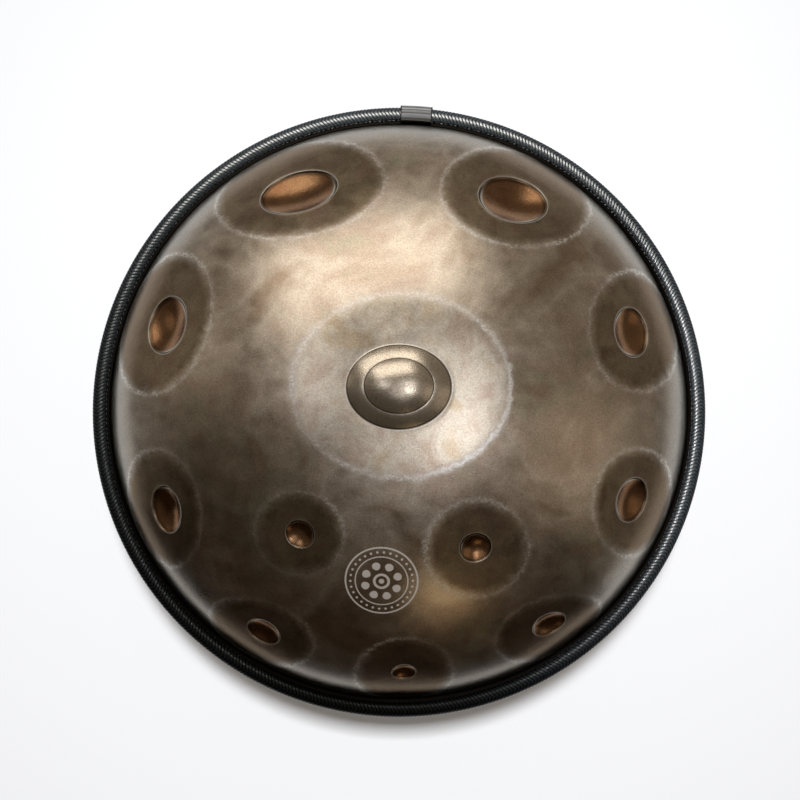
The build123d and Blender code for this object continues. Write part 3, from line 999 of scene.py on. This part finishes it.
    # Thin lines, bright from rubbing, on the edges of the dimples and of the ding, and crescents of
    # painted light on the dimples' walls on the ding's side
    edge = add(tree, MATH, (band(tree, dimple, 0.0, 0.1, 0.5, 0.6), band(tree, ding, 0.7, 0.1, 0.8, 0.55)),
               operation="MAXIMUM")
    lit_crescent = add(tree, MATH, (band(tree, copper_gap, 0.7, 0.3, 1.4, 0.42), inner_side), operation="MULTIPLY")
    rubbed_and_lit = add(tree, MATH, (edge, lit_crescent), operation="MAXIMUM")
    rubbed_and_lit = add(tree, MATH, (rubbed_and_lit, right_highlight), operation="MAXIMUM")
    mark = add(tree, MATH, (maker_mark(tree, place), 0.95), operation="MULTIPLY")
    pale = add(tree, MATH, (worn, rubbed_and_lit), operation="MAXIMUM")
    pale = add(tree, MATH, (pale, mark), operation="MAXIMUM")
    # Worn borders, the mark and the painted highlights all take this pale colour
    coloured = add(tree, MIX, {0: pale, 6: coloured, 7: tint.wear_and_highlight}, out=2, data_type="RGBA")
    # Painted shade: a near-black colour in the creases round the ding's domes, on the dimples' walls (most on the
    # ding's side) and on the flange beside the trim
    inner_wall_shade = add(tree, MATH, (band(tree, dimple, -1.7, 0.6, 1.4, 0.85), inner_side), operation="MULTIPLY")
    outer_side = add(tree, MATH, (1.0, inner_side), operation="SUBTRACT")
    outer_wall_shade = add(tree, MATH, (band(tree, dimple, -2.0, 0.5, 2.6, 0.5), outer_side), operation="MULTIPLY")
    inner_wall_shade = add(tree, MATH, (inner_wall_shade, outer_wall_shade), operation="MAXIMUM")
    crease_shade = add(tree, MATH, (band(tree, cap, 0.1, 0.15, 0.85, 0.8), band(tree, ding, -0.4, 0.1, 0.8, 0.7)),
                 operation="MAXIMUM")
    crease_shade = add(tree, MATH, (crease_shade, inner_wall_shade), operation="MAXIMUM")
    # Painted shade on the flange beside the trim, where the gap lies in shade
    flange = add(tree, RANGE, (height, RIM_HEIGHT + 5.5 * MM, RIM_HEIGHT + 2.1 * MM, 0.0, 0.99))
    painted_shade_mask = add(tree, MATH, (crease_shade, flange), operation="MAXIMUM")
    coloured = add(tree, MIX, {0: painted_shade_mask, 6: coloured, 7: tint.painted_shade}, out=2, data_type="RGBA")
    tree.links.new(coloured, shader.inputs["Base Color"])
    # The mark's burnt, pale oxide isn't a metal
    tree.links.new(add(tree, RANGE, (mark, 0.0, 0.95, 1.0, 0.25)), shader.inputs["Metallic"])
    rough = add(tree, RANGE, (small, 0.3, 0.7, 0.27, 0.36))
    rough = add(tree, MIX, {0: on_ding, 2: rough, 3: 0.26}, data_type="FLOAT")
    rough = add(tree, MIX, {0: in_copper, 2: rough, 3: 0.24}, data_type="FLOAT")
    rough = add(tree, MIX, {0: pale, 2: rough, 3: 0.46}, data_type="FLOAT")
    rough = add(tree, MIX, {0: right_highlight, 2: rough, 3: 0.34}, data_type="FLOAT")
    tree.links.new(rough, shader.inputs["Roughness"])
    fine = add(tree, "ShaderNodeBump", {"Height": grain, "Distance": 0.08 * MM, "Strength": 0.7})
    dents = add(tree, "ShaderNodeBump", {"Height": small, "Distance": 0.5 * MM, "Strength": 0.3, "Normal": fine})
    # Hammer marks on the tone fields
    hammered = add(tree, MATH, (in_field, 0.5), operation="MULTIPLY")
    struck = add(tree, "ShaderNodeBump", {"Height": rough_edge, "Distance": 0.25 * MM, "Strength": hammered,
                                          "Normal": dents})
    tree.links.new(struck, shader.inputs["Normal"])
    return material


def nitrided_steel_lower():
    """The same nitrided sheet without notes: even bronze-brown clouds and a fine scoured grain."""
    material, tree, shader, place = new_material("nitrided_steel_lower")
    tint = colours()
    clouds = add(tree, NOISE, {"Vector": place, "Scale": 1 / (110 * MM), "Detail": 4.0, "Roughness": 0.6,
                               "Distortion": 0.5})
    grain = add(tree, NOISE, {"Vector": place, "Scale": 1 / (1.1 * MM), "Detail": 2.0, "Roughness": 0.6})
    film = add(tree, "ShaderNodeValToRGB", (clouds,), stops=[
        (0.3, tint.field_brown), (0.5, tint.lower_steel), (0.66, tint.steel_brown)])
    tone = add(tree, RANGE, (grain, 0.3, 0.7, 0.86, 1.14))
    toned = add(tree, MIX, {0: 1.0, 6: film, 7: tone}, out=2, data_type="RGBA", blend_type="MULTIPLY")
    tree.links.new(toned, shader.inputs["Base Color"])
    shader.inputs["Metallic"].default_value = 1.0
    tree.links.new(add(tree, RANGE, (clouds, 0.3, 0.7, 0.32, 0.42)), shader.inputs["Roughness"])
    bump = add(tree, "ShaderNodeBump", {"Height": grain, "Distance": 0.06 * MM, "Strength": 0.5})
    tree.links.new(bump, shader.inputs["Normal"])
    return material


def waxed_leather(gap):
    """Plaited black cord, waxed: a semi-gloss coat on each strand, dull between them, with painted shade darkening
    the gaps.
    """
    material, tree, shader, place = new_material("waxed_braid")
    tint = colours()
    fibre = add(tree, NOISE, {"Vector": place, "Scale": 1 / (1.6 * MM), "Detail": 3.0})
    # The strands' ridges again, from the place's angle round the rim and round the trim
    x, y, z = add(tree, "ShaderNodeSeparateXYZ", (place,)).node.outputs
    turn = add(tree, MATH, (y, x), operation="ARCTAN2")
    level = add(tree, "ShaderNodeCombineXYZ", (x, y))
    reach = add(tree, "ShaderNodeVectorMath", (level,), out="Value", operation="LENGTH")
    across = add(tree, MATH, (reach, TRIM_MIDDLE), operation="SUBTRACT")
    up = add(tree, MATH, (z, RIM_HEIGHT), operation="SUBTRACT")
    around = add(tree, MATH, (add(tree, MATH, (up, across), operation="ARCTAN2"),), operation="ABSOLUTE")
    lean = add(tree, MATH, (add(tree, MATH, (around, STRAND_FOLD), operation="SUBTRACT"),), operation="ABSOLUTE")
    strands = strand_count()
    phase = add(tree, MATH, (turn, strands / 2, -strands / 2 * joint_turn(gap)), operation="MULTIPLY_ADD")
    phase = add(tree, MATH, (lean, STRAND_LEAN / 2, phase), operation="MULTIPLY_ADD")
    ridge = add(tree, MATH, (add(tree, MATH, (phase,), operation="SINE"),), operation="ABSOLUTE")
    on_strand = add(tree, RANGE, (ridge, 0.25, 0.8, 0.0, 1.0), interpolation_type="SMOOTHSTEP")
    # Painted shade: the gaps between the strands take the darker colour
    colour = add(tree, MIX, {0: on_strand, 6: tint.strand_gap_shade, 7: tint.leather}, out=2, data_type="RGBA")
    tone = add(tree, RANGE, (fibre, 0.3, 0.7, 0.5, 2.0))
    toned = add(tree, MIX, {0: 1.0, 6: colour, 7: tone}, out=2, data_type="RGBA", blend_type="MULTIPLY")
    tree.links.new(toned, shader.inputs["Base Color"])
    worn = add(tree, RANGE, (fibre, 0.3, 0.7, 0.26, 0.42))
    tree.links.new(add(tree, MIX, {0: on_strand, 2: 0.75, 3: worn}, data_type="FLOAT"), shader.inputs["Roughness"])
    gloss = add(tree, RANGE, (on_strand, 0.0, 1.0, 0.04, 0.24))
    tree.links.new(gloss, shader.inputs["Specular IOR Level"])
    shader.inputs["IOR"].default_value = 1.5
    bump = add(tree, "ShaderNodeBump", {"Height": fibre, "Distance": 0.1 * MM, "Strength": 0.5})
    tree.links.new(bump, shader.inputs["Normal"])
    return material


def waxed_thread():
    """Twisted waxed thread: dark, with a soft shine and a fine twist."""
    material, tree, shader, place = new_material("waxed_thread")
    fibre = add(tree, NOISE, {"Vector": place, "Scale": 1 / (0.6 * MM), "Detail": 2.0})
    tone = add(tree, RANGE, (fibre, 0.3, 0.7, 0.7, 1.3))
    toned = add(tree, MIX, {0: 1.0, 6: colours().thread, 7: tone}, out=2, data_type="RGBA", blend_type="MULTIPLY")
    tree.links.new(toned, shader.inputs["Base Color"])
    shader.inputs["Roughness"].default_value = 0.5
    shader.inputs["IOR"].default_value = 1.5
    bump = add(tree, "ShaderNodeBump", {"Height": fibre, "Distance": 0.1 * MM, "Strength": 0.6})
    tree.links.new(bump, shader.inputs["Normal"])
    return material


def plated_clip():
    """Pressed steel with dark nickel plating: satin grey with fine drawn lines, darker at both ends."""
    material, tree, shader, place = new_material("dark_nickel")
    drawn = add(tree, "ShaderNodeMapping", {"Vector": place, "Scale": (0.05, 1.0, 1.0)})
    lines = add(tree, NOISE, {"Vector": drawn, "Scale": 1 / (0.4 * MM), "Detail": 2.0})
    tone = add(tree, RANGE, (lines, 0.3, 0.7, 0.85, 1.12))
    turned = add(tree, "ShaderNodeMapping", {"Vector": place, "Rotation": (0, 0, CLIP_ANGLE)})
    along = add(tree, MATH, (add(tree, "ShaderNodeSeparateXYZ", (turned,)),), operation="ABSOLUTE")
    end = (CLIP_BOX[1].x - CLIP_BOX[0].x) / 2
    ends = add(tree, RANGE, (along, end - 1.5 * MM, end - 0.9 * MM, 1.0, 0.12))
    tone = add(tree, MATH, (tone, ends), operation="MULTIPLY")
    toned = add(tree, MIX, {0: 1.0, 6: colours().clip, 7: tone}, out=2, data_type="RGBA", blend_type="MULTIPLY")
    tree.links.new(toned, shader.inputs["Base Color"])
    shader.inputs["Metallic"].default_value = 1.0
    tree.links.new(add(tree, RANGE, (lines, 0.3, 0.7, 0.3, 0.42)), shader.inputs["Roughness"])
    return material


def cured_epoxy():
    """Two-part epoxy squeezed between the flanges: dark, glossy where it shows."""
    material, tree, shader, place = new_material("cured_epoxy")
    cloud = add(tree, NOISE, {"Vector": place, "Scale": 1 / (4 * MM), "Detail": 2.0})
    film = add(tree, "ShaderNodeValToRGB", (cloud,), stops=[
        (0.35, colours().epoxy_dark), (0.65, colours().epoxy_light)])
    tree.links.new(film, shader.inputs["Base Color"])
    shader.inputs["Roughness"].default_value = 0.22
    shader.inputs["IOR"].default_value = 1.55
    return material


def moulded_rubber():
    """Extruded rubber tube: matt black with a faint bloom."""
    material, tree, shader, place = new_material("extruded_rubber")
    bloom = add(tree, NOISE, {"Vector": place, "Scale": 1 / (6 * MM), "Detail": 3.0})
    film = add(tree, "ShaderNodeValToRGB", (bloom,), stops=[
        (0.35, colours().rubber_dark), (0.7, colours().rubber_light)])
    tree.links.new(film, shader.inputs["Base Color"])
    shader.inputs["Roughness"].default_value = 0.7
    shader.inputs["IOR"].default_value = 1.52
    return material


def dress_node(name, material):
    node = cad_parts[name]
    node.data.materials.clear()
    node.data.materials.append(material)


# --- Stage ------------------------------------------------------------------------------------


def area_light(name, place, aim, width, height, radiance, colour, lit_objects, spread=180):
    """A softbox for the given objects only; its radiance is what a mirror would show."""
    data = bpy.data.lights.new(name, "AREA")
    data.shape = "RECTANGLE"
    data.size, data.size_y = width, height
    data.energy = radiance * math.pi * width * height
    data.color = hex_colour(colour)
    data.spread = math.radians(spread)
    light = bpy.data.objects.new(name, data)
    light.location = place
    light.rotation_euler = (Vector(aim) - Vector(place)).to_track_quat("-Z", "Y").to_euler()
    light.visible_camera = False
    bpy.context.scene.collection.objects.link(light)
    lit = bpy.data.collections.new(name + "_lights")
    for item in lit_objects:
        lit.objects.link(item)
    light.light_linking.receiver_collection = lit


def stage_piece(name, maker, material):
    mesh = bpy.data.meshes.new(name)
    maker.to_mesh(mesh)
    maker.free()
    piece = bpy.data.objects.new(name, mesh)
    bpy.context.scene.collection.objects.link(piece)
    mesh.materials.append(material)
    return piece


def studio_air():
    """Dim air, a little brighter on the far side and overhead."""
    world = bpy.data.worlds.new("studio_air")
    world.use_nodes = True
    tree = world.node_tree
    background = tree.nodes["Background"]
    direction = add(tree, "ShaderNodeTexCoord", out="Generated")
    facing = add(tree, "ShaderNodeVectorMath", (direction, (0.30, 0.85, 0.42)), out="Value", operation="DOT_PRODUCT")
    glow = add(tree, RANGE, (facing, -0.25, 1.0, 0.10, 0.26))
    tree.links.new(glow, background.inputs["Strength"])
    background.inputs["Color"].default_value = (*hex_colour("#f0e2d2"), 1)
    return world


FLOOR_RADIUS = 9
CAMERA_LENS = 49.18
CAMERA_PLACE = (0.9, -108.7, 994.1)  # millimetres from the rim's middle
CAMERA_TILT = math.radians(6.4)


def build_stage():
    scene = bpy.context.scene
    scene.view_settings.view_transform = "Standard"
    scene.world = studio_air()
    maker = bmesh.new()
    bmesh.ops.create_circle(maker, cap_ends=True, radius=FLOOR_RADIUS, segments=64)
    material, _, shader, _ = new_material("white_floor")
    shader.inputs["Base Color"].default_value = (*hex_colour("#f6f6f5"), 1)
    shader.inputs["Roughness"].default_value = 0.8
    shader.inputs["Emission Color"].default_value = (1, 1, 1, 1)
    shader.inputs["Emission Strength"].default_value = 0.08
    floor = stage_piece("studio_floor", maker, material)
    # A dark flag round the near left side; only its reflection shows
    maker = bmesh.new()
    low = maker.verts.new((0.54, 0, 0.03))
    high = maker.verts.new((0.63, 0, 0.5))
    edge = maker.edges.new((low, high))
    flag_start, flag_turn = math.radians(-40), math.radians(-122)
    bmesh.ops.spin(maker, geom=[low, high, edge], cent=(0, 0, 0), axis=(0, 0, 1), angle=flag_turn, steps=40)
    bmesh.ops.rotate(maker, verts=maker.verts, cent=(0, 0, 0), matrix=Matrix.Rotation(flag_start, 3, "Z"))
    material, _, shader, _ = new_material("dark_flag")
    shader.inputs["Base Color"].default_value = (*hex_colour("#4c3f33"), 1)
    shader.inputs["Roughness"].default_value = 0.9
    flag = stage_piece("dark_flag", maker, material)
    flag.visible_camera = False
    flag.visible_diffuse = False
    flag.visible_shadow = False
    middle = (0, 0, RIM_HEIGHT + 0.1)
    # The soft lights reach the pan only and the floor has its own, which keeps its shadow short
    trim = [bpy.data.objects["plaited_trim"], bpy.data.objects["trim_stitches"]]
    pan = [item for item in scene.objects if item.type == "MESH" and item not in (floor, flag, *trim)]
    area_light("key_softbox", (-0.29, 1.29, 1.39), middle, 1.95, 1.05, 1.9, "#fbf7f4", pan)
    area_light("overhead_softbox", (0.2, -0.1, 2.0), middle, 1.4, 0.9, 0.68, "#f3f5ff", pan)
    area_light("overhead_left", (-0.78, 0.3, 1.95), middle, 0.5, 0.6, 1.7, "#f3f5ff", pan)
    area_light("overhead_right", (0.62, 0.35, 1.95), middle, 0.5, 0.5, 1.2, "#f3f5ff", pan)
    area_light("overhead_lamp", (0.55, -0.18, 1.95), middle, 0.42, 0.42, 4.2, "#f3f5ff", pan)
    area_light("left_fill", (-1.6, 0.5, 0.75), middle, 0.5, 0.8, 0.35, "#fff4ea", pan)
    area_light("right_fill", (1.4, -0.3, 1.1), middle, 0.9, 0.9, 0.32, "#ffeedd", pan)
    area_light("front_kicker", (0.13, -0.49, 0.42), (0.05, -0.18, 0.2), 0.14, 0.10, 0.9, "#ffe2b8", pan)
    area_light("floor_light", (0.02, 0.3, 2.1), (0, 0, 0), 0.28, 0.28, 175, "#f6f9ff", [floor])
    area_light("trim_light", (-0.12, 0.0, 0.45), (0.27, -0.02, 0.1), 0.2, 0.45, 30, "#ffffff", trim, 60)
    area_light("trim_back_light", (0.0, 0.31, 0.6), (0.0, 0.27, 0.12), 0.44, 0.3, 17, "#fffdf6", trim, 90)
    camera_data = bpy.data.cameras.new("view")
    camera_data.lens = CAMERA_LENS
    camera_data.sensor_width = 36
    camera = bpy.data.objects.new("view", camera_data)
    x, y, z = (part * MM for part in CAMERA_PLACE)
    camera.location = (x, y, RIM_HEIGHT + z)
    camera.rotation_euler = (CAMERA_TILT, 0, 0)
    scene.collection.objects.link(camera)
    scene.camera = camera


# --- Operators, panel and running ---------------------------------------------------------------


class HANDPAN_OT_top_shell(bpy.types.Operator):
    """Build the playing side with its ding, dimples and tone fields"""
    bl_idname = "handpan.top_shell"
    bl_label = "Top Shell"

    def execute(self, context):
        build_top_shell()
        return {"FINISHED"}


class HANDPAN_OT_bottom_shell(bpy.types.Operator):
    """Build the lower shell with its port"""
    bl_idname = "handpan.bottom_shell"
    bl_label = "Bottom Shell"

    def execute(self, context):
        build_bottom_shell()
        return {"FINISHED"}


class HANDPAN_OT_joint(bpy.types.Operator):
    """Dress the glue between the flanges and the rubber tube round them"""
    bl_idname = "handpan.joint"
    bl_label = "Glue and Rubber Core"

    def execute(self, context):
        dress_node("rim_adhesive", cured_epoxy())
        dress_node("rim_core", moulded_rubber())
        return {"FINISHED"}


class HANDPAN_OT_braid(bpy.types.Operator):
    """Build the plaited trim round the rim"""
    bl_idname = "handpan.braid"
    bl_label = "Plaited Trim"

    def execute(self, context):
        build_braid()
        return {"FINISHED"}


class HANDPAN_OT_stitching(bpy.types.Operator):
    """Build the stitches along both edges of the trim"""
    bl_idname = "handpan.stitching"
    bl_label = "Stitching"

    def execute(self, context):
        build_stitching()
        return {"FINISHED"}


class HANDPAN_OT_clip(bpy.types.Operator):
    """Build the clip over the trim's joint"""
    bl_idname = "handpan.clip"
    bl_label = "Clip"

    def execute(self, context):
        build_clip()
        return {"FINISHED"}


class HANDPAN_OT_stage(bpy.types.Operator):
    """Set up the floor, the lights and the camera"""
    bl_idname = "handpan.stage"
    bl_label = "Stage"

    def execute(self, context):
        build_stage()
        return {"FINISHED"}


OPERATORS = (
    HANDPAN_OT_top_shell,
    HANDPAN_OT_bottom_shell,
    HANDPAN_OT_joint,
    HANDPAN_OT_braid,
    HANDPAN_OT_stitching,
    HANDPAN_OT_clip,
    HANDPAN_OT_stage,
)


class HANDPAN_PT_sidebar(bpy.types.Panel):
    """The handpan's pieces, in the order they are built"""
    bl_idname = "HANDPAN_PT_sidebar"
    bl_label = "Handpan"
    bl_space_type = "VIEW_3D"
    bl_region_type = "UI"
    bl_category = "Handpan"

    def draw(self, context):
        for operator in OPERATORS:
            self.layout.operator(operator.bl_idname)


CLASSES = (HandpanNote, HandpanSizes, HandpanColours, *OPERATORS, HANDPAN_PT_sidebar)


def register():
    for item in CLASSES:
        bpy.utils.register_class(item)
    bpy.types.Scene.handpan_sizes = PointerProperty(type=HandpanSizes)
    bpy.types.Scene.handpan_colours = PointerProperty(type=HandpanColours)


def unregister():
    del bpy.types.Scene.handpan_sizes
    del bpy.types.Scene.handpan_colours
    for item in reversed(CLASSES):
        bpy.utils.unregister_class(item)


def fill_notes():
    notes = sizes().notes
    notes.clear()
    for row in NOTE_LAYOUT:
        note = notes.add()
        for name, value in zip(NOTE_COLUMNS, row):
            setattr(note, name, math.radians(value) if name in NOTE_ANGLES else value * MM)


def main():
    register()
    fill_notes()
    for operator in OPERATORS:
        group, name = operator.bl_idname.split(".")
        if getattr(getattr(bpy.ops, group), name)() != {"FINISHED"}:
            raise RuntimeError(operator.bl_idname + " did not finish")


if __name__ == "__main__":
    main()
